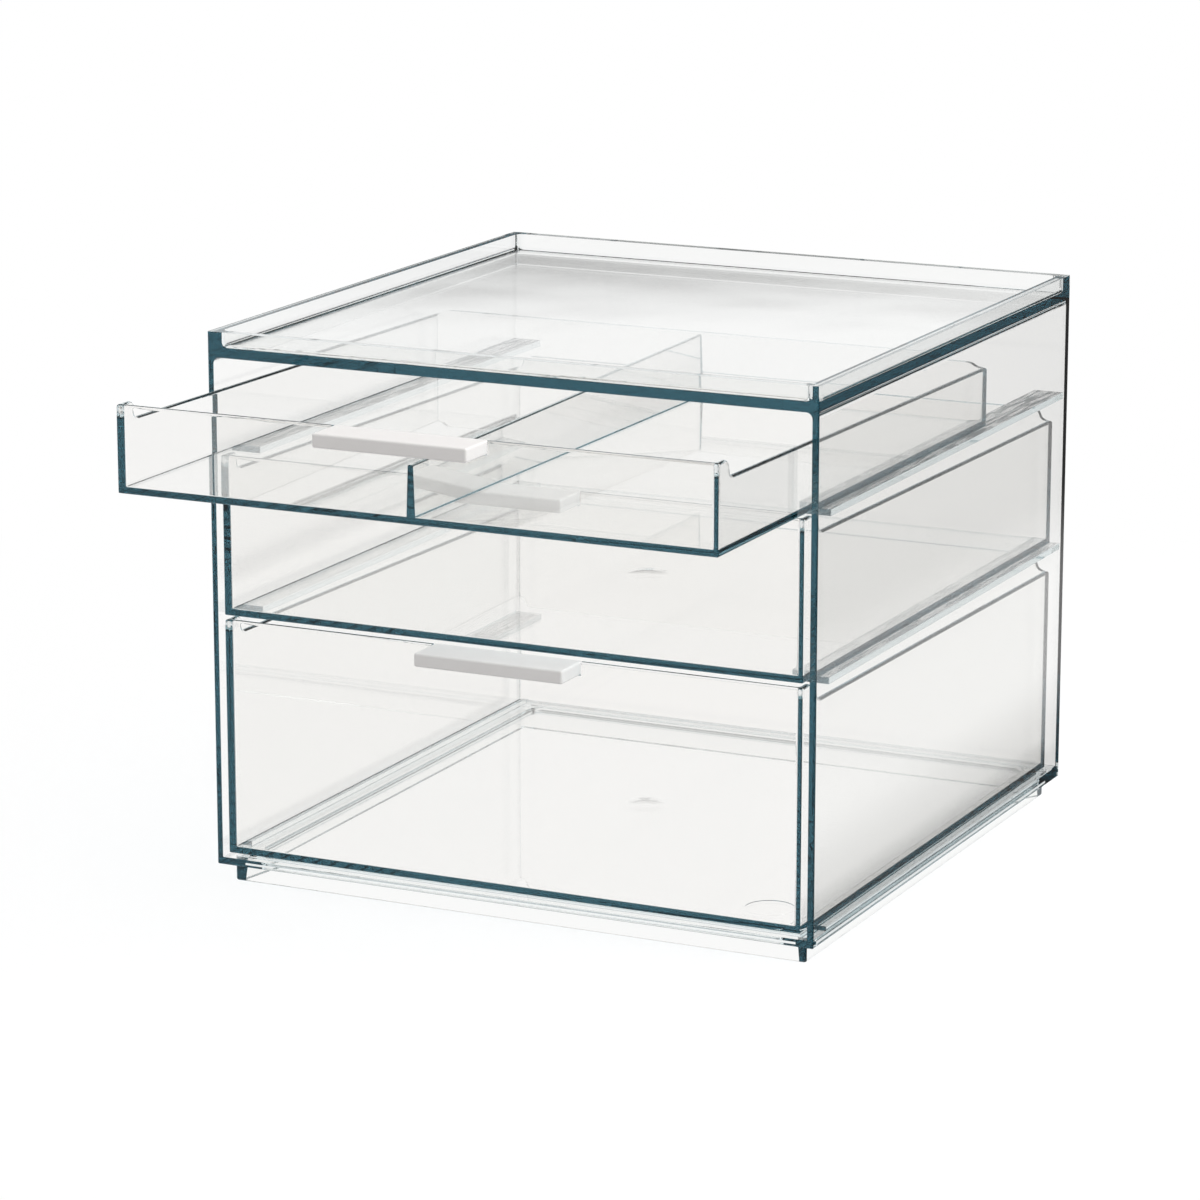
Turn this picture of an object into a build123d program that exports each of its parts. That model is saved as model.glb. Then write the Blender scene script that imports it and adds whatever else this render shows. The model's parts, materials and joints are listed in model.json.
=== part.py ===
"""A clear stackable case with three drawers, for make-up and other small things.

The case is bonded from clear moulded panels: a base frame with a foot ring, two side walls, a back wall, a
top tray with a lip, and two pairs of rails. Three one-piece drawers slide in it, each with an opaque pull.
Lengths are in millimetres. X runs to the right, Y to the back and Z up, and the foot stands on Z = 0.
"""

import os

from build123d import *

# Case
case_width = 200.0
case_depth = 206.0
side_wall = 2.0
back_wall = 2.0
top_plate = 2.5
lip_height = 5.3
lip_wall = 3.2
foot_height = 5.9
foot_wall = 3.5
foot_draft_angle = 7.0
stacking_gap = 0.8
base_thickness = 2.4
base_round = 0.4
side_ledge_reach = 4.5
end_ledge_reach = 1.2
ledge_round_share = 0.45
opening_corner = 3.0
runner_width = 4.5
runner_height = 1.4
rail_width = 9.8
rail_thickness = 2.0
rail_setback = 11.0
rail_end_gap = 1.0
corner_round = 0.5
foot_corner = 1.0
foot_round = 0.7
cove_radius = 2.0
tray_corner = 2.5
tray_cove = 1.5

# Drawers
bottom_drawer_height = 74.1
middle_drawer_height = 48.5
top_drawer_height = 26.4
drawer_depth = 200.0
drawer_wall = 1.9
drawer_floor = 1.8
drawer_corner = 0.4
cavity_corner = 0.6
cavity_floor_round = 0.3
return_length = 5.0
step_run = 5.5
side_drop_front = 5.2
side_drop_back = 7.8
rim_round = 0.8
crest_drop = 4.0
top_crest_drop = 6.3
crest_margin = 1.5
crest_run = 5.0
divider_height_front = 15.2
divider_height_back = 17.7
divider_root = 2.8
divider_top = 1.5
divider_round = 0.5
gate_diameter = 14.0
gate_depth = 0.12
disc_diameter = 15.0
disc_depth = 0.15
disc_inset_x = 16.0
disc_inset_y = 15.5
top_drawer_opening = 60.0

# Pulls
pull_length = 49.0
pull_reach = 12.0
pull_height = 4.2
pull_round = 0.7

# Clearances
side_gap = 2.2
running_gap = 0.3
front_gap = 1.4
top_gap = 3.4
notch_gap = 0.3
cut_overrun = 5.0

# Levels, from the table up
base_top = foot_height + base_thickness
runner_top = base_top + runner_height
bottom_floor = runner_top + running_gap
middle_floor = bottom_floor + bottom_drawer_height + front_gap
top_floor = middle_floor + middle_drawer_height + front_gap
lower_rail_top = middle_floor - running_gap
upper_rail_top = top_floor - running_gap
plate_underside = top_floor + top_drawer_height + top_gap
plate_top = plate_underside + top_plate
wall_height = plate_underside - base_top

# Places across and along the case
case_front = -case_depth / 2
case_back = case_depth / 2
inner_half_width = case_width / 2 - side_wall
inner_back = case_back - back_wall
rail_front = case_front + rail_setback
rail_back = inner_back - rail_end_gap
foot_inset = lip_wall + stacking_gap
foot_inner = foot_inset + foot_wall
side_ledge = foot_inner + side_ledge_reach
end_ledge = foot_inner + end_ledge_reach
ledge_round = ledge_round_share * base_thickness
drawer_width = 2 * (inner_half_width - side_gap)
notch_width = pull_length + 2 * notch_gap

os.makedirs("parts", exist_ok=True)


def finish(builder, label):
    """Names a finished piece and writes its file."""
    builder.part.label = label
    export_step(builder.part, f"parts/{label}.step")


def smooth_step(start, end, along):
    """Draws an S of two equal arcs that leaves the start and reaches the end in the direction given."""
    middle = ((start[0] + end[0]) / 2, (start[1] + end[1]) / 2)
    TangentArc(start, middle, tangent=along)
    TangentArc(end, middle, tangent=(-along[0], -along[1]))


# Base frame: a ledge with a rounded inner edge, the drafted foot ring under it that nests in a unit below,
# and two runners on it that carry the bottom drawer
with BuildPart() as base_frame:
    with BuildSketch(Plane.XY.offset(foot_height)):
        RectangleRounded(case_width, case_depth, corner_round)
        RectangleRounded(
            case_width - 2 * side_ledge,
            case_depth - 2 * end_ledge,
            opening_corner,
            mode=Mode.SUBTRACT,
        )
    extrude(amount=base_thickness)
    ledge_bottom = base_frame.faces().sort_by(Axis.Z)[0]
    ledge_top = base_frame.faces().sort_by(Axis.Z)[-1]
    fillet(ledge_bottom.inner_wires().edges() + ledge_top.inner_wires().edges(), ledge_round)
    fillet(base_frame.faces().sort_by(Axis.Z)[0].outer_wire().edges(), base_round)
    with BuildSketch(Plane.XY.offset(foot_height)):
        RectangleRounded(case_width - 2 * foot_inset, case_depth - 2 * foot_inset, foot_corner)
    extrude(amount=-foot_height)
    with BuildSketch(Plane.XY.offset(foot_height)):
        Rectangle(case_width - 2 * foot_inner, case_depth - 2 * foot_inner)
    extrude(amount=-foot_height, taper=-foot_draft_angle, mode=Mode.SUBTRACT)
    fillet(base_frame.faces().sort_by(Axis.Z)[0].outer_wire().edges(), foot_round)
    with BuildSketch(Plane.XY.offset(base_top)):
        runner_x = inner_half_width - runner_width / 2
        runner_y = (rail_front + inner_back) / 2
        with Locations((-runner_x, runner_y), (runner_x, runner_y)):
            Rectangle(runner_width, inner_back - rail_front)
    extrude(amount=runner_height)
finish(base_frame, "base_frame")


# Side walls, with a small cove where the inner face meets the top plate
def build_side_wall(label, side):
    """Builds one side wall: side is -1 for the left and 1 for the right."""
    outer = side * case_width / 2
    inner = side * inner_half_width
    with BuildPart() as wall:
        with BuildSketch(Plane.XY.offset(base_top)):
            with Locations(((outer + inner) / 2, 0)):
                Rectangle(side_wall, case_depth)
        extrude(amount=wall_height)
        outer_edges = wall.edges().filter_by(Axis.Z).sort_by(Axis.X)
        fillet(outer_edges[-2:] if side > 0 else outer_edges[:2], corner_round)
        with BuildSketch(Plane.XZ.offset(-inner_back)):
            with BuildLine():
                below = (inner, plate_underside - cove_radius)
                beside = (inner - side * cove_radius, plate_underside)
                corner = (inner, plate_underside)
                TangentArc(below, beside, tangent=(0, 1))
                Line(beside, corner)
                Line(corner, below)
            make_face()
        extrude(amount=case_depth - back_wall)
    finish(wall, label)


build_side_wall("left_wall", -1)
build_side_wall("right_wall", 1)

# Back wall, between the side walls
with BuildPart() as back_panel:
    with BuildSketch(Plane.XY.offset(base_top)):
        with Locations((0, (inner_back + case_back) / 2)):
            Rectangle(2 * inner_half_width, back_wall)
    extrude(amount=wall_height)
finish(back_panel, "back_wall")


# Rails, on the inner faces of the side walls
def build_rail(label, side, top_level):
    """Builds one rail under a drawer's edge: side is -1 for the left and 1 for the right."""
    with BuildPart() as rail:
        with BuildSketch(Plane.XY.offset(top_level - rail_thickness)):
            with Locations((side * (inner_half_width - rail_width / 2), (rail_front + rail_back) / 2)):
                Rectangle(rail_width, rail_back - rail_front)
        extrude(amount=rail_thickness)
    finish(rail, label)


for level_name, level in (("lower", lower_rail_top), ("upper", upper_rail_top)):
    for side_name, side in (("left", -1), ("right", 1)):
        build_rail(f"{level_name}_{side_name}_rail", side, level)

# Top tray: the plate over the drawers and the lip round it, with a small cove at the lip's foot
with BuildPart() as top_tray:
    with BuildSketch(Plane.XY.offset(plate_underside)):
        RectangleRounded(case_width, case_depth, corner_round)
    extrude(amount=top_plate + lip_height)
    with BuildSketch(Plane.XY.offset(plate_top)):
        RectangleRounded(case_width - 2 * lip_wall, case_depth - 2 * lip_wall, tray_corner)
    extrude(amount=lip_height, mode=Mode.SUBTRACT)
    fillet(top_tray.edges().filter_by_position(Axis.Z, plate_top, plate_top), tray_cove)
finish(top_tray, "top_tray")


# Divider: a drafted wall whose top slopes down to the front, with its ends and foot let into the drawer
def build_divider(front_end, back_end, floor_top):
    """Builds the divider between its two ends on a floor whose top is at floor_top."""
    foot = floor_top - drawer_floor / 2
    with BuildPart() as divider:
        with BuildSketch(Plane.XZ.offset(-back_end)):
            with BuildLine():
                Polyline(
                    (-divider_root / 2, foot),
                    (divider_root / 2, foot),
                    (divider_root / 2, floor_top),
                    (divider_top / 2, floor_top + divider_height_back),
                    (-divider_top / 2, floor_top + divider_height_back),
                    (-divider_root / 2, floor_top),
                    close=True,
                )
            make_face()
        extrude(amount=back_end - front_end)
        with BuildSketch(Plane.YZ):
            with BuildLine():
                Polyline(
                    (front_end, foot),
                    (back_end, foot),
                    (back_end, floor_top + divider_height_back),
                    (front_end, floor_top + divider_height_front),
                    close=True,
                )
            make_face()
        extrude(amount=divider_root, both=True, mode=Mode.INTERSECT)
        top_edges = divider.faces().sort_by(Axis.Z)[-1].edges()
        fillet(top_edges.filter_by(lambda edge: edge.length > divider_root), divider_round)
    return divider.part


# Drawers: a raised front with short returns, side walls that slope down to the back, and a raised back crest
def build_drawer(label, floor_level, height, front, back_drop, has_divider, has_disc):
    """Builds one drawer from its floor level, height, front face and the drop from the front to the crest."""
    back = front + drawer_depth
    centre = (0, (front + back) / 2)
    front_top = floor_level + height
    floor_top = floor_level + drawer_floor
    side_top_back = front_top - side_drop_back
    with BuildPart() as drawer:
        with BuildSketch(Plane.XY.offset(floor_level)):
            with Locations(centre):
                Rectangle(drawer_width, drawer_depth)
        extrude(amount=height)
        fillet(drawer.edges().filter_by(Axis.Z), drawer_corner)
        fillet(drawer.faces().sort_by(Axis.Z)[0].edges(), drawer_corner)
        with BuildSketch(Plane.XY.offset(floor_top)):
            with Locations(centre):
                RectangleRounded(
                    drawer_width - 2 * drawer_wall,
                    drawer_depth - 2 * drawer_wall,
                    cavity_corner,
                )
        extrude(amount=height, mode=Mode.SUBTRACT)
        fillet(drawer.edges().filter_by_position(Axis.Z, floor_top, floor_top), cavity_floor_round)

        # The side walls step down behind the front's returns and slope on to the back
        with BuildSketch(Plane.YZ):
            with BuildLine():
                step_top = (front + return_length, front_top)
                step_foot = (front + return_length + step_run, front_top - side_drop_front)
                rear = (back + cut_overrun, side_top_back)
                smooth_step(step_top, step_foot, (1, 0))
                Line(step_foot, (back, side_top_back))
                Polyline(
                    (back, side_top_back),
                    rear,
                    (back + cut_overrun, front_top + cut_overrun),
                    (front + return_length, front_top + cut_overrun),
                    step_top,
                )
            make_face()
        extrude(amount=drawer_width, both=True, mode=Mode.SUBTRACT)

        # The rims are rounded, from the sloping side walls on round the front
        rim_places = drawer_width / 2 - drawer_wall - drawer_corner
        high_edges = drawer.edges().filter_by(lambda edge: edge.center().Z > side_top_back)
        side_edges = high_edges.filter_by(lambda edge: abs(edge.center().X) > rim_places)
        fillet(side_edges.filter_by(lambda edge: edge.length > drawer_depth / 2), rim_round)

        # The crest of the back wall rises between the rails
        with BuildSketch(Plane.XZ.offset(-back)):
            with BuildLine():
                crest_foot = (drawer_width / 2 - crest_margin, side_top_back)
                crest_end = (crest_foot[0] - crest_run, front_top - back_drop)
                Polyline((0, floor_top), (crest_foot[0], floor_top), crest_foot)
                smooth_step(crest_foot, crest_end, (-1, 0))
                Line(crest_end, (0, crest_end[1]))
                mirror(about=Plane.YZ)
            make_face()
        extrude(amount=drawer_wall)

        # The notch that seats the pull
        with BuildSketch(Plane.XZ.offset(-front)):
            with Locations((0, front_top - pull_height)):
                Rectangle(notch_width, pull_height + cut_overrun, align=(Align.CENTER, Align.MIN))
        extrude(amount=-drawer_wall, mode=Mode.SUBTRACT)

        if has_divider:
            add(build_divider(front + drawer_wall / 2, back - drawer_wall / 2, floor_top))
        else:
            # The shallow round dish that the moulding gate leaves in the middle of the floor
            with BuildSketch(Plane.XZ.offset(-centre[1])):
                with BuildLine():
                    dish_bottom = (0, floor_top - gate_depth)
                    dish_rim = (gate_diameter / 2, floor_top)
                    TangentArc(dish_bottom, dish_rim, tangent=(1, 0))
                    Polyline(dish_rim, (0, floor_top), dish_bottom)
                make_face()
            revolve(axis=Axis((0, centre[1], 0), (0, 0, 1)), mode=Mode.SUBTRACT)
        if has_disc:
            # A plain round mark near the front right corner
            with BuildSketch(Plane.XY.offset(floor_top)):
                with Locations((drawer_width / 2 - disc_inset_x, front + disc_inset_y)):
                    Circle(disc_diameter / 2)
            extrude(amount=-disc_depth, mode=Mode.SUBTRACT)
    finish(drawer, label)


# Pulls: opaque bars, each seated in the notch of its drawer's front with their tops in line
def build_pull(label, front_top, front):
    """Builds the pull of the drawer whose front face is at front."""
    with BuildPart() as pull:
        with BuildSketch(Plane.XY.offset(front_top - pull_height)):
            with Locations((0, front + (drawer_wall - pull_reach) / 2)):
                Rectangle(pull_length, pull_reach + drawer_wall)
        extrude(amount=pull_height)
        fillet(pull.edges(), pull_round)
    finish(pull, label)


open_front = case_front - top_drawer_opening
for level_name, floor_level, height, front in (
    ("bottom", bottom_floor, bottom_drawer_height, case_front),
    ("middle", middle_floor, middle_drawer_height, case_front),
    ("top", top_floor, top_drawer_height, open_front),
):
    build_drawer(
        f"{level_name}_drawer",
        floor_level,
        height,
        front,
        back_drop=top_crest_drop if level_name == "top" else crest_drop,
        has_divider=level_name == "top",
        has_disc=level_name == "bottom",
    )
    build_pull(f"{level_name}_pull", floor_level + height, front)
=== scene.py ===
# %% [markdown]
# # A clear drawer case for make-up
#
# The object is a small stackable case of clear moulded plastic with three drawers. The CAD model gives every
# panel its exact place, and this lesson dresses it: it joins the case's panels into one clear body, softens the
# edges as a mould does, gives each drawer its white pull, and lights the scene so that clear plastic can be read
# against white.

# %% Load the CAD frame
import json
import math

import bmesh
import bpy
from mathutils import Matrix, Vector


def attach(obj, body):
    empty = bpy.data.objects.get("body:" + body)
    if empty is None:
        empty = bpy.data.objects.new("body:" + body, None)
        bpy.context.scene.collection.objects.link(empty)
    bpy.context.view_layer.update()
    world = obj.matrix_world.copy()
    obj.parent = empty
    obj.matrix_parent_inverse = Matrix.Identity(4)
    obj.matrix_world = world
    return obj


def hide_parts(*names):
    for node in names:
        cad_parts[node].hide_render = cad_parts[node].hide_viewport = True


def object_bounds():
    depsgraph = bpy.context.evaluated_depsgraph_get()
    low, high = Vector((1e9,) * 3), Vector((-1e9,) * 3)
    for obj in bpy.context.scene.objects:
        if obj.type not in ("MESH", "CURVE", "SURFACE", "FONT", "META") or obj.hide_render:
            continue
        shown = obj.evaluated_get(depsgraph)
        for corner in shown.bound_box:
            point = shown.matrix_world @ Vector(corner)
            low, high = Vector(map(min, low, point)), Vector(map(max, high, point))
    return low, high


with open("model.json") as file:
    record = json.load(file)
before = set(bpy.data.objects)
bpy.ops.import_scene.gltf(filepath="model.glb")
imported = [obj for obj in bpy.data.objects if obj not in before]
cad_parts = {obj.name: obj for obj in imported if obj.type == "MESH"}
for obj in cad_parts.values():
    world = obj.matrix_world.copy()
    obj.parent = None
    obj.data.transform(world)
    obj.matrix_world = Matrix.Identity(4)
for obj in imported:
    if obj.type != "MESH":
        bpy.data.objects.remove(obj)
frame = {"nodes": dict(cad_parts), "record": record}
cad_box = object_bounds()
scene = bpy.context.scene
MM = 0.001
print("CAD nodes:", ", ".join(sorted(frame["nodes"])))

# %% [markdown]
# ## Two small helpers
#
# Colours are written as sRGB hex values, as a paint program shows them, and one function turns them into the
# linear numbers that shaders use. One more function adds a node to any tree, sets its options, and sets or links
# its inputs, so that a material or a Geometry Nodes tree reads from top to bottom. Inputs are given by name, by
# number or as a list in the node's own order, and a node that is given as an input stands for its first output.


# %% Colour and node helpers
def linear(hex_colour):
    """Turns an sRGB colour such as "#2f5158" into linear RGBA."""
    parts = [int(hex_colour[i : i + 2], 16) / 255 for i in (1, 3, 5)]
    return [c / 12.92 if c <= 0.04045 else ((c + 0.055) / 1.055) ** 2.4 for c in parts] + [1.0]


def add(tree, kind, inputs=(), **settings):
    """Adds a node, sets its options, and sets or links its inputs, given by name, by number or in order."""
    node = tree.nodes.new(kind)
    for key, value in settings.items():
        setattr(node, key, value)
    for key, value in inputs.items() if isinstance(inputs, dict) else enumerate(inputs):
        if isinstance(value, bpy.types.Node):
            value = value.outputs[0]
        if isinstance(value, bpy.types.NodeSocket):
            tree.links.new(value, node.inputs[key])
        else:
            node.inputs[key].default_value = value
    return node


# %% [markdown]
# ## The camera
#
# The photograph was taken from the right of the drawer fronts and a little above, with a long lens, so upright
# edges stay almost parallel. The lens and the place of the camera were worked out from the corners of the case.

# %% Camera
LENS, SENSOR = 141.9, 36.0
CAMERA_PLACE = [612.6 * MM, -1316.1 * MM, 431.5 * MM]
CAMERA_TILT, CAMERA_TURN = math.radians(90 - 13.70), math.radians(25.61)
camera_data = bpy.data.cameras.new("Camera")
camera_data.sensor_width = SENSOR
camera_data.lens = LENS
camera = bpy.data.objects.new("Camera", camera_data)
camera.location = CAMERA_PLACE
camera.rotation_euler = [CAMERA_TILT, 0, CAMERA_TURN]
scene.collection.objects.link(camera)
scene.camera = camera
scene.view_settings.view_transform = "Standard"
print("camera", [round(v, 3) for v in camera.location])

# %% [markdown]
# ## A bright field for clear plastic
#
# Clear things are photographed on a bright field: what lies behind them is white, and they show by the places
# where they bend the view away from it, to the darker parts of the studio. So rays that come off or through the
# plastic see a white sweep low behind the table, dark walls above it, and a bright ceiling. A dim line low on the
# sweep greys the far part of the tray. The camera itself sees plain white, and matt surfaces get a soft fill that
# grows towards the zenith. Heights are those of a ray's direction: 0 is level and 1 is straight up.

# %% World
LINE_START, LINE_END, LINE_TONE = (0.150, 0.160), (0.163, 0.182), 0.2
SWEEP_END, WALL_TONE = (0.30, 0.42), 0.2
CEILING_START, CEILING_TONE = (0.7, 0.9), 0.8
FILL_LEVEL, FILL_ZENITH = 0.3, 1.0
SOFT = {"interpolation_type": "SMOOTHSTEP"}
world = bpy.data.worlds.new("Studio")
scene.world = world
world.use_nodes = True
tree = world.node_tree
tree.nodes.clear()
path = add(tree, "ShaderNodeLightPath").outputs
direction = add(tree, "ShaderNodeTexCoord").outputs["Generated"]
height = add(tree, "ShaderNodeSeparateXYZ", [direction]).outputs["Z"]
dim = add(tree, "ShaderNodeMapRange", [height, *LINE_START, 1.0, LINE_TONE], **SOFT)
line = add(tree, "ShaderNodeMapRange", [height, *LINE_END, dim, 1.0], **SOFT)
sweep = add(tree, "ShaderNodeMapRange", [height, *SWEEP_END, line, WALL_TONE], **SOFT)
ceiling = add(tree, "ShaderNodeMapRange", [height, *CEILING_START, 0.0, CEILING_TONE], **SOFT)
studio = add(tree, "ShaderNodeMath", [sweep, ceiling], operation="ADD")
fill = add(tree, "ShaderNodeMapRange", [height, 0.0, 1.0, FILL_LEVEL, FILL_ZENITH], **SOFT)
bent = add(tree, "ShaderNodeMath", [path["Is Glossy Ray"], path["Is Transmission Ray"]], operation="MAXIMUM")
plain = add(tree, "ShaderNodeMix", {"Factor": path["Is Camera Ray"], "A": fill, "B": 1.0})
seen = add(tree, "ShaderNodeMix", {"Factor": bent, "A": plain, "B": studio})
backdrop = add(tree, "ShaderNodeBackground", {"Color": seen, "Strength": 1.0})
add(tree, "ShaderNodeOutputWorld", {"Surface": backdrop})
print("world: bright field,", len(tree.nodes), "nodes")

# %% [markdown]
# ## White paper with painted shade
#
# The case stands on white paper, which glows white behind it and keeps a soft shadow near it. So that the edges
# of clear plastic read dark, shade is also painted on the paper to the right of the case, where only mirrored and
# bent rays see it: faces that look to the right mirror a painted shadow of the case next to it and painted shade
# further out. Rays straight off a face see the painted shade darker than rays that come from inside the plastic,
# except for the first two centimetres beside the case, which are dark for both and draw the base's right edge.

# %% The sheet of paper
REACH, LEVEL = 6.0, -0.2 * MM
corners = [(x * REACH, y * REACH, LEVEL) for x, y in ((-1, -1), (1, -1), (1, 1), (-1, 1))]
floor_mesh = bpy.data.meshes.new("floor")
floor_mesh.from_pydata(corners, [], [(0, 1, 2, 3)])
floor = bpy.data.objects.new("floor", floor_mesh)
scene.collection.objects.link(floor)
paper = bpy.data.materials.new("white studio paper")
paper.use_nodes = True
floor_mesh.materials.append(paper)
print("floor:", 2 * REACH, "m wide")

# %% Painted shade on the paper
case_side = cad_box[1][0]
# Where the painted shade lies: a painted shadow next to the case's right side, and painted shade further out.
PAINTED_SHADE_START = (case_side, case_side + 5 * MM)
CLOSE_END, CLOSE_DEPTH = (case_side + 18 * MM, case_side + 26 * MM), 0.9
NEAR_SHADOW_END = (case_side + 25 * MM, case_side + 65 * MM)
FAR_SHADE_START = (case_side + 100 * MM, case_side + 170 * MM)
FACE_DEPTH, INSIDE_DEPTH = 0.85, 0.15
tree = paper.node_tree
tree.nodes.clear()
path = add(tree, "ShaderNodeLightPath").outputs
spot = add(tree, "ShaderNodeTexCoord").outputs["Object"]
across = add(tree, "ShaderNodeSeparateXYZ", [spot]).outputs["X"]
# Painted shade on the paper, for bent rays only: a painted shadow next to the case and painted shade further out.
near_shadow = add(tree, "ShaderNodeMapRange", [across, *NEAR_SHADOW_END, 1.0, 0.0], **SOFT)
far_shade = add(tree, "ShaderNodeMapRange", [across, *FAR_SHADE_START, 0.0, 1.0], **SOFT)
both = add(tree, "ShaderNodeMath", [near_shadow, far_shade], operation="MAXIMUM")
painted_shade = add(tree, "ShaderNodeMapRange", [across, *PAINTED_SHADE_START, 0.0, both], **SOFT)
# A painted contact shadow in the first two centimetres beside the case, dark for all bent rays.
beside = add(tree, "ShaderNodeMapRange", [across, *CLOSE_END, CLOSE_DEPTH, 0.0], **SOFT)
painted_contact_shadow = add(tree, "ShaderNodeMath", [painted_shade, beside], operation="MULTIPLY")
depth = add(tree, "ShaderNodeMix", {"Factor": path["Is Transmission Ray"], "A": FACE_DEPTH, "B": INSIDE_DEPTH})
shaded = add(tree, "ShaderNodeMath", [painted_shade, depth], operation="MULTIPLY")
dark = add(tree, "ShaderNodeMath", [shaded, painted_contact_shadow], operation="MAXIMUM")
bent = add(tree, "ShaderNodeMath", [path["Is Glossy Ray"], path["Is Transmission Ray"]], operation="MAXIMUM")
loss = add(tree, "ShaderNodeMath", [dark, bent], operation="MULTIPLY")
print("shade_on_paper:", len(tree.nodes), "nodes")

# %% Its glow and its shadow
SHADOW_REACH, SHADOW_GLOW, BOUNCE = (0.15, 0.5), 0.75, 0.55
dimmed = add(tree, "ShaderNodeMath", [1.0, loss], operation="SUBTRACT")
glow = add(tree, "ShaderNodeEmission", {"Color": linear("#ffffff"), "Strength": dimmed})
tone = add(tree, "ShaderNodeMix", {"Factor": path["Is Diffuse Ray"], "A": 1.0, "B": BOUNCE})
matt = add(tree, "ShaderNodeBsdfDiffuse", {"Color": tone})
away = add(tree, "ShaderNodeVectorMath", [spot], operation="LENGTH").outputs["Value"]
clean = add(tree, "ShaderNodeMapRange", [away, *SHADOW_REACH, SHADOW_GLOW, 1.0], **SOFT)
shown = add(tree, "ShaderNodeMath", [path["Is Camera Ray"], clean], operation="MULTIPLY")
share = add(tree, "ShaderNodeMath", [shown, bent], operation="MAXIMUM")
sheet = add(tree, "ShaderNodeMixShader", [share, matt, glow])
add(tree, "ShaderNodeOutputMaterial", {"Surface": sheet})
print("paper:", len(tree.nodes), "nodes")

# %% [markdown]
# ## One softbox, and long light paths
#
# A large softbox on the right lights the white pulls: their right ends are bright, as their tops are from the
# fill, and their fronts fall into half shade. Light crosses many clear walls and runs along inside them, so the
# paths may be long.

# %% Lamp and light paths
LAMP_PLACE, LAMP_AIM = Vector((0.95, 0.1, 0.75)), Vector((0, 0, 0.1))
LAMP_SIZE, LAMP_WATTS = 1.2, 10.5
BOUNCES = 64
lamp_data = bpy.data.lights.new("side softbox", "AREA")
lamp_data.size = LAMP_SIZE
lamp_data.energy = LAMP_WATTS
lamp = bpy.data.objects.new("side softbox", lamp_data)
lamp.location = LAMP_PLACE
lamp.rotation_euler = (LAMP_AIM - LAMP_PLACE).to_track_quat("-Z", "Y").to_euler()
scene.collection.objects.link(lamp)
scene.cycles.max_bounces = BOUNCES
scene.cycles.transmission_bounces = BOUNCES
scene.cycles.glossy_bounces = BOUNCES
scene.cycles.transparent_max_bounces = BOUNCES
scene.cycles.use_denoising = True
print("lamp:", lamp.name, LAMP_WATTS, "W")

# %% [markdown]
# ## Clear styrene plastic
#
# Such cases are moulded in SAN or clear polystyrene. Polished faces are nearly invisible, but the plastic absorbs
# a little red light, so a plate that is seen end on, through 200 mm of plastic, looks dark teal. The surface is
# glass with the plastic's index, and an absorbing volume gives the edges their colour by itself. A trace of warm
# toner, which moulders add, keeps the thin walls neutral. It is so faint that it is given as shares of red, green
# and blue light, which are finer than a hex value. The mould leaves waves a few centimetres long and a hundredth of
# a millimetre high, which bend mirrored lines a little. The photograph shows hardly any reflection head on, as
# through a polarising filter, so Specular Tint is low. Faces with the attribute "scuff" are worn dull in streaks.
# Light and shadow for matt things pass straight through, almost undimmed.

# %% Waves and scuffs
WAVE_LENGTH, WAVE_HEIGHT = 45 * MM, 0.02 * MM
STREAK_SIZE, STREAK_EDGES, STREAK_LEAST = (1.5 * MM, 18 * MM, 3 * MM), (0.4, 0.6), 0.35
TONER_SHARES = (1.0, 0.985, 0.975, 1)
SCUFF_GREY, SCUFF_ROUGHNESS = linear("#858486"), 0.45
clear = bpy.data.materials.new("clear SAN")
clear.use_nodes = True
tree = clear.node_tree
tree.nodes.clear()
spot = add(tree, "ShaderNodeTexCoord").outputs["Object"]
wave_inputs = {"Vector": spot, "Scale": 1 / WAVE_LENGTH, "Detail": 1.0, "Roughness": 0.4}
waves = add(tree, "ShaderNodeTexNoise", wave_inputs)
ripple = add(tree, "ShaderNodeBump", {"Height": waves, "Strength": 1.0, "Distance": WAVE_HEIGHT})
scuff = add(tree, "ShaderNodeAttribute", attribute_name="scuff").outputs["Fac"]
drawn = add(tree, "ShaderNodeMapping", {"Vector": spot, "Scale": [1 / size for size in STREAK_SIZE]})
streaks = add(tree, "ShaderNodeTexNoise", {"Vector": drawn, "Scale": 1.0, "Detail": 3.0})
patchy = add(tree, "ShaderNodeMapRange", [streaks, *STREAK_EDGES, STREAK_LEAST, 1.0], **SOFT)
worn = add(tree, "ShaderNodeMath", [scuff, patchy], operation="MULTIPLY")
rough = add(tree, "ShaderNodeMath", [worn, SCUFF_ROUGHNESS], operation="MULTIPLY")
dull = add(tree, "ShaderNodeMix", {0: worn, 6: TONER_SHARES, 7: SCUFF_GREY}, data_type="RGBA").outputs[2]
print("waves and scuffs:", len(tree.nodes), "nodes")

# %% Clear plastic
SAN_INDEX, HEAD_ON, PASSED = 1.57, 0.3, 0.995
EDGE_TEAL, EDGE_DENSITY = linear("#6cb0bc"), 19.0
path = add(tree, "ShaderNodeLightPath").outputs
polished = add(tree, "ShaderNodeBsdfPrincipled", {
    "Base Color": dull, "Roughness": rough, "IOR": SAN_INDEX, "Transmission Weight": 1.0,
    "Specular Tint": (HEAD_ON, HEAD_ON, HEAD_ON, 1), "Normal": ripple,
})
through = add(tree, "ShaderNodeBsdfTransparent", {"Color": (PASSED, PASSED, PASSED, 1)})
unbent = add(tree, "ShaderNodeMath", [path["Is Shadow Ray"], path["Is Diffuse Ray"]], operation="MAXIMUM")
surface = add(tree, "ShaderNodeMixShader", [unbent, polished, through])
tint = add(tree, "ShaderNodeVolumeAbsorption", {"Color": EDGE_TEAL, "Density": EDGE_DENSITY})
add(tree, "ShaderNodeOutputMaterial", {"Surface": surface, "Volume": tint})
print("material:", clear.name)

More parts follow.
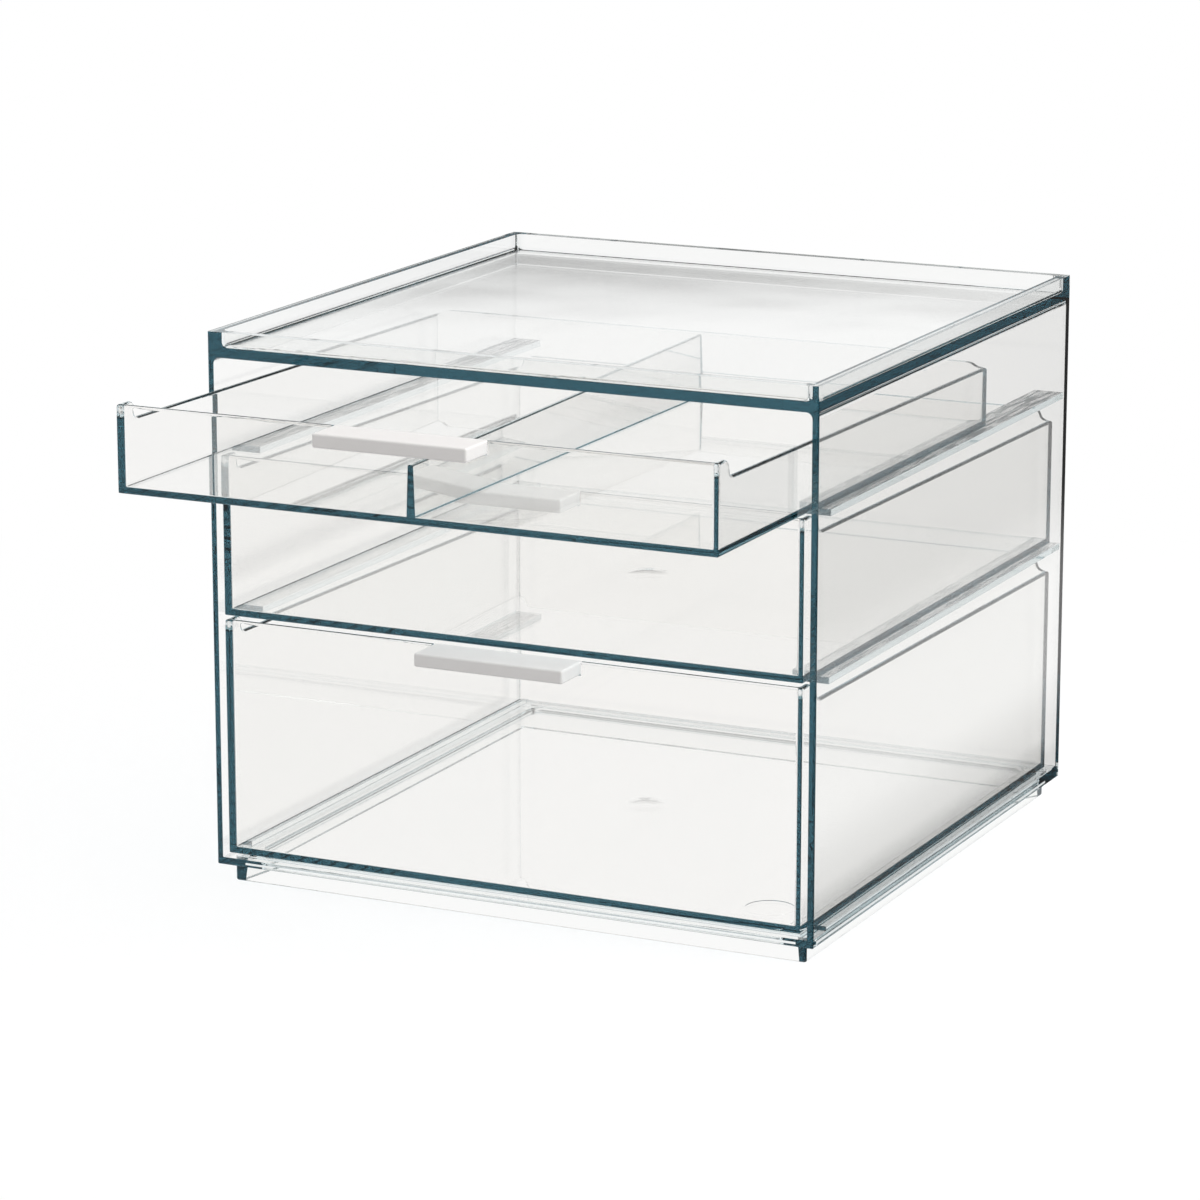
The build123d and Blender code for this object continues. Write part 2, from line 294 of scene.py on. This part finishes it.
# %% [markdown]
# ## Clear bodies with soft edges
#
# Two clear solids that touch would show a seam of two facing surfaces, so the panels of the case are joined into
# one body with a Boolean union. Flat stretches are then cleaned of loose edges, and a Bevel gives every sharp edge
# the small radius of a mould. Faces stay flat shaded, because a bent normal on a flat pane would make it a lens.


# %% Copying and cleaning
MERGE_DISTANCE, FLAT_ANGLE = 0.005 * MM, math.radians(0.5)


def tidy(made):
    """Merges doubled corners of a bmesh and turns each flat stretch into one flat shaded face."""
    bmesh.ops.remove_doubles(made, verts=made.verts, dist=MERGE_DISTANCE)
    bmesh.ops.dissolve_limit(made, angle_limit=FLAT_ANGLE, verts=made.verts, edges=made.edges)
    for face in made.faces:
        face.smooth = False


def clean_copy(node):
    """Copies a CAD node's mesh into a new object, tidied and without its material."""
    made = bmesh.new()
    made.from_mesh(frame["nodes"][node].data)
    tidy(made)
    mesh = bpy.data.meshes.new(node)
    made.to_mesh(mesh)
    made.free()
    mesh.materials.clear()
    piece = bpy.data.objects.new("copy_" + node, mesh)
    scene.collection.objects.link(piece)
    return piece


def finished_mesh(piece, name):
    """Turns an object with its modifiers into a plain mesh."""
    bpy.context.view_layer.update()
    evaluated = piece.evaluated_get(bpy.context.evaluated_depsgraph_get())
    mesh = bpy.data.meshes.new_from_object(evaluated)
    mesh.name = name
    return mesh


# %% Joining
def joined_mesh(name, nodes):
    """Joins copies of CAD nodes into one mesh with a Boolean union."""
    copies = [clean_copy(node) for node in nodes]
    for other in copies[1:]:
        union = copies[0].modifiers.new("join", "BOOLEAN")
        union.operation = "UNION"
        union.solver = "EXACT"
        union.object = other
    mesh = finished_mesh(copies[0], name)
    for copy in copies:
        bpy.data.objects.remove(copy)
    made = bmesh.new()
    made.from_mesh(mesh)
    tidy(made)
    made.to_mesh(mesh)
    made.free()
    return mesh


# %% Softening and placing
SHARP_ANGLE, EDGE_STEPS = math.radians(40), 2


def clear_body(name, nodes, body, radius):
    """Shows one clear piece with softened edges in the place of CAD nodes, and returns its mesh."""
    piece = bpy.data.objects.new(name, joined_mesh(name, nodes))
    scene.collection.objects.link(piece)
    bevel = piece.modifiers.new("mould radius", "BEVEL")
    bevel.width = radius
    bevel.segments = EDGE_STEPS
    bevel.limit_method = "ANGLE"
    bevel.angle_limit = SHARP_ANGLE
    softened = finished_mesh(piece, name)
    piece.modifiers.clear()
    piece.data = softened
    softened.materials.clear()
    softened.materials.append(clear)
    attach(piece, body)
    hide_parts(*nodes)
    check = bmesh.new()
    check.from_mesh(softened)
    loose = sum(not edge.is_manifold for edge in check.edges)
    volume = round(check.calc_volume() * 1e6, 2)
    check.free()
    print(name, len(softened.polygons), "faces,", volume, "cm3, open edges:", loose)
    return softened


# %% [markdown]
# ## The case and its drawers
#
# The case's panels, rails, tray and base are bonded on the real object, so they become one shell. Each drawer is
# one moulding and keeps its own body, because it slides. The drawers' edges are a little crisper than the case's.

# %% The case and the drawers
CASE_EDGE, DRAWER_EDGE = 0.25 * MM, 0.15 * MM
DRAWER_LEVELS = ("bottom", "middle", "top")
case_nodes = frame["record"]["behaviour"]["bodies"]["case"]
shell = clear_body("case_shell", case_nodes, "case", CASE_EDGE)
for level in DRAWER_LEVELS:
    clear_body(f"{level}_tray", [f"{level}_drawer"], f"{level}_drawer", DRAWER_EDGE)

# %% [markdown]
# ## Worn rails
#
# The drawers ride on the tops of the rails, and there the photograph shows grey streaks along the way they slide,
# most on the upper pair. The shell's upward faces over each rail get the attribute that the plastic reads, more or
# less strongly.

# %% Scuffed rail tops
WEAR = {"upper_left_rail": 1.0, "upper_right_rail": 1.0, "lower_right_rail": 0.7, "lower_left_rail": 0.25}
UPWARD, AT_TOP = 0.9, 0.1 * MM
marks = shell.attributes.new("scuff", "FLOAT", "FACE")
for node, wear in WEAR.items():
    points = [vertex.co for vertex in frame["nodes"][node].data.vertices]
    top = max(point.z for point in points)
    for face in shell.polygons:
        same_side = face.center.x * points[0].x > 0
        if same_side and face.normal.z > UPWARD and abs(face.center.z - top) < AT_TOP:
            marks.data[face.index].value = wear
print("scuffed faces:", sum(mark.value > 0 for mark in marks.data))

# %% [markdown]
# ## White plastic for the pulls
#
# The pulls are opaque white ABS. The mould is finely eroded, so the face has a satin grain of about a quarter of a
# millimetre, and the white varies a little over some millimetres, as filled plastic does where it flowed.

# %% White plastic
GRAIN_SIZE, GRAIN_HEIGHT, FLOW_SIZE = 0.25 * MM, 0.01 * MM, 9 * MM
GRAIN_EDGES, SATIN = (0.3, 0.7), (0.36, 0.48)
white = bpy.data.materials.new("white ABS")
white.use_nodes = True
tree = white.node_tree
tree.nodes.clear()
spot = add(tree, "ShaderNodeTexCoord").outputs["Object"]
grain = add(tree, "ShaderNodeTexNoise", {"Vector": spot, "Scale": 1 / GRAIN_SIZE, "Detail": 3.0})
flow = add(tree, "ShaderNodeTexNoise", {"Vector": spot, "Scale": 1 / FLOW_SIZE, "Detail": 2.0})
whites = {0: flow, 6: linear("#eeebe9"), 7: linear("#f4f1ef")}
shade = add(tree, "ShaderNodeMix", whites, data_type="RGBA").outputs[2]
satin = add(tree, "ShaderNodeMapRange", [grain, *GRAIN_EDGES, *SATIN], **SOFT)
relief = add(tree, "ShaderNodeBump", {"Height": grain, "Strength": 0.4, "Distance": GRAIN_HEIGHT})
filled = add(tree, "ShaderNodeBsdfPrincipled", {"Base Color": shade, "Roughness": satin, "Normal": relief})
add(tree, "ShaderNodeOutputMaterial", {"Surface": filled})
print("material:", white.name)

# %% [markdown]
# ## Bar pulls from one tree
#
# The three pulls are the same rounded bar in three places, so one Geometry Nodes tree makes them all. It takes a
# cube grid, keeps the direction of each point from its nearest corner, and sets the points on a ball of the edge
# radius round that corner. The middle row of faces stretches into the flat sides, so the bar has true round edges
# and few faces.

# %% The bar tree's inputs
bar_tree = bpy.data.node_groups.new("moulded bar", "GeometryNodeTree")
bar_tree.is_modifier = True
bar_inputs = {}
for label, kind in (
    ("Size", "NodeSocketVector"),
    ("Centre", "NodeSocketVector"),
    ("Edge radius", "NodeSocketFloat"),
    ("Edge segments", "NodeSocketInt"),
    ("Material", "NodeSocketMaterial"),
):
    bar_inputs[label] = bar_tree.interface.new_socket(label, in_out="INPUT", socket_type=kind).identifier
bar_tree.interface.new_socket("Geometry", in_out="OUTPUT", socket_type="NodeSocketGeometry")
given = add(bar_tree, "NodeGroupInput").outputs
print("bar tree inputs:", ", ".join(bar_inputs))

# %% The grid on its corner balls
rows = add(bar_tree, "ShaderNodeMath", [given["Edge segments"], 2.0], operation="MULTIPLY")
gaps = add(bar_tree, "ShaderNodeMath", [rows, 1.0], operation="SUBTRACT")
middle = add(bar_tree, "ShaderNodeMath", [1.0, gaps], operation="DIVIDE")
counts = {"Vertices X": rows, "Vertices Y": rows, "Vertices Z": rows}
grid = add(bar_tree, "GeometryNodeMeshCube", {"Size": (2, 2, 2), **counts})
point = add(bar_tree, "GeometryNodeInputPosition")
side = add(bar_tree, "ShaderNodeVectorMath", [point], operation="SIGN")
reach = add(bar_tree, "ShaderNodeVectorMath", [point], operation="ABSOLUTE")
lift = add(bar_tree, "ShaderNodeVectorMath", [reach, middle], operation="SUBTRACT")
outward = add(bar_tree, "ShaderNodeVectorMath", [side, lift], operation="MULTIPLY")
unit = add(bar_tree, "ShaderNodeVectorMath", [outward], operation="NORMALIZE")
ball = add(bar_tree, "ShaderNodeVectorMath", [unit, given["Edge radius"]], operation="MULTIPLY")
print("corner balls:", len(bar_tree.nodes), "nodes")

# %% The bar in its place
half = add(bar_tree, "ShaderNodeVectorMath", [given["Size"], (0.5, 0.5, 0.5)], operation="MULTIPLY")
core = add(bar_tree, "ShaderNodeVectorMath", [half, given["Edge radius"]], operation="SUBTRACT")
corner = add(bar_tree, "ShaderNodeVectorMath", [side, core], operation="MULTIPLY")
rounded = add(bar_tree, "ShaderNodeVectorMath", [corner, ball], operation="ADD")
moved = add(bar_tree, "ShaderNodeVectorMath", [rounded, given["Centre"]], operation="ADD")
shaped = add(bar_tree, "GeometryNodeSetPosition", {"Geometry": grid, "Position": moved})
real = add(bar_tree, "GeometryNodeRealizeInstances", {"Geometry": shaped})
dyed = add(bar_tree, "GeometryNodeSetMaterial", {"Geometry": real, "Material": given["Material"]})
add(bar_tree, "NodeGroupOutput", {"Geometry": dyed})
print("bar tree:", len(bar_tree.nodes), "nodes")

# %% [markdown]
# ## The pulls in place
#
# Each bar takes its size and place from the CAD pull that it shows, and rides with its drawer. The edge radius is
# that of a finger-safe moulded edge.

# %% The pulls
PULL_EDGE, PULL_EDGE_STEPS = 0.7 * MM, 6
for level in DRAWER_LEVELS:
    node = f"{level}_pull"
    points = [vertex.co for vertex in frame["nodes"][node].data.vertices]
    low = Vector([min(p[axis] for p in points) for axis in range(3)])
    high = Vector([max(p[axis] for p in points) for axis in range(3)])
    bar = bpy.data.objects.new(f"{level}_bar", bpy.data.meshes.new(f"{level}_bar"))
    scene.collection.objects.link(bar)
    maker = bar.modifiers.new("moulded bar", "NODES")
    maker.node_group = bar_tree
    maker[bar_inputs["Size"]] = high - low
    maker[bar_inputs["Centre"]] = (low + high) / 2
    maker[bar_inputs["Edge radius"]] = PULL_EDGE
    maker[bar_inputs["Edge segments"]] = PULL_EDGE_STEPS
    maker[bar_inputs["Material"]] = white
    mesh = finished_mesh(bar, f"{level}_bar")
    bar.modifiers.clear()
    bar.data = mesh
    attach(bar, f"{level}_drawer")
    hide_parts(node)
    print(bar.name, len(mesh.polygons), "faces", [round(v / MM, 2) for v in high - low], "mm")

# %% Sizes and the end
print("CAD box", [[round(v, 4) for v in corner] for corner in cad_box])
